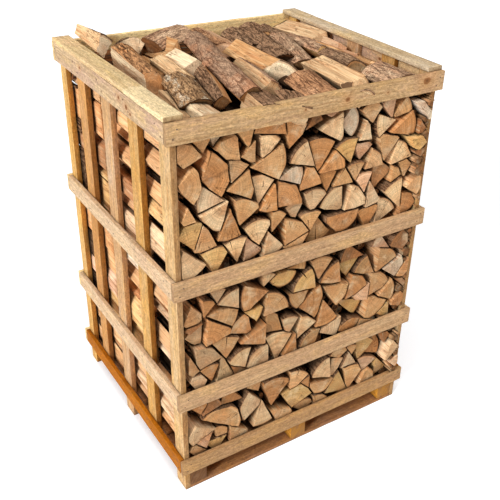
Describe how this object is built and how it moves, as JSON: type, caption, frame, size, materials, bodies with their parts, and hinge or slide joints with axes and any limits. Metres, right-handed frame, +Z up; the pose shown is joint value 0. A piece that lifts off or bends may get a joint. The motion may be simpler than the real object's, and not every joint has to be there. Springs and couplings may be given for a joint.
{
  "type": "crate of split oak firewood",
  "caption": "Tall slatted wooden crate on a block pallet, open at the top and filled with split oak logs stacked front to back.",
  "frame": {"origin": "on the ground at the middle of the crate's footprint", "axes": "+Z up, +X to the right along the open front where the log ends show, +Y from the front to the back"},
  "size_m": [1.15, 1.056, 1.6722],
  "materials": {
    "pallet_wood": "rough sawn, weathered brown",
    "slat_wood": "rough sawn, yellow to orange",
    "cream_rail_wood": "rough sawn, cream, small knots",
    "orange_rail_wood": "rough sawn, strong orange",
    "rim_wood": "rough sawn, yellow-tan with knots and a little wane",
    "split_oak": "split and sawn faces, pale tan to orange-brown",
    "oak_bark": "rough bark, grey-brown, lichen in places"
  },
  "bodies": {
    "root": {"back_rail_base": "cream_rail_wood", "back_rail_lower": "cream_rail_wood", "back_rail_rim": "rim_wood", "back_rail_upper": "cream_rail_wood", "block_back_left": "pallet_wood", "block_back_middle": "pallet_wood", "block_back_right": "pallet_wood", "block_front_left": "pallet_wood", "block_front_middle": "pallet_wood", "block_front_right": "pallet_wood", "block_middle_left": "pallet_wood", "block_middle_middle": "pallet_wood", "block_middle_right": "pallet_wood", "cap_left": "rim_wood", "cap_right_long": "rim_wood", "cap_right_short": "rim_wood", "deck_board_1": "pallet_wood", "deck_board_2": "pallet_wood", "deck_board_3": "pallet_wood", "deck_board_4": "pallet_wood", "deck_board_5": "pallet_wood", "front_rail_base": "cream_rail_wood", "front_rail_lower": "cream_rail_wood", "front_rail_rim": "rim_wood", "front_rail_upper": "cream_rail_wood", "left_back_corner": "slat_wood", "left_back_slat": "slat_wood", "left_front_corner": "slat_wood", "left_front_slat": "slat_wood", "left_middle_slat": "slat_wood", "left_rail_base": "orange_rail_wood", "left_rail_lower": "cream_rail_wood", "left_rail_rim": "rim_wood", "left_rail_upper": "cream_rail_wood", "log_cracked_brown": "oak_bark", "log_flat_pale": "split_oak", "log_lichen_bark": "oak_bark", "log_pale_corner": "split_oak", "log_purple_back": "oak_bark", "log_purple_front": "oak_bark", "log_rough_bark": "oak_bark", "log_round_end": "oak_bark", "log_row_back": "split_oak", "log_row_front": "split_oak", "log_row_middle": "split_oak", "right_back_corner": "slat_wood", "right_back_slat": "slat_wood", "right_front_corner": "slat_wood", "right_front_slat": "slat_wood", "right_middle_slat": "slat_wood", "right_rail_base": "orange_rail_wood", "right_rail_lower": "cream_rail_wood", "right_rail_rim": "rim_wood", "right_rail_upper": "cream_rail_wood", "runner_back": "pallet_wood", "runner_front": "pallet_wood", "runner_middle": "pallet_wood", "stringer_left": "pallet_wood", "stringer_middle": "pallet_wood", "stringer_right": "pallet_wood"}
  },
  "joints": []
}
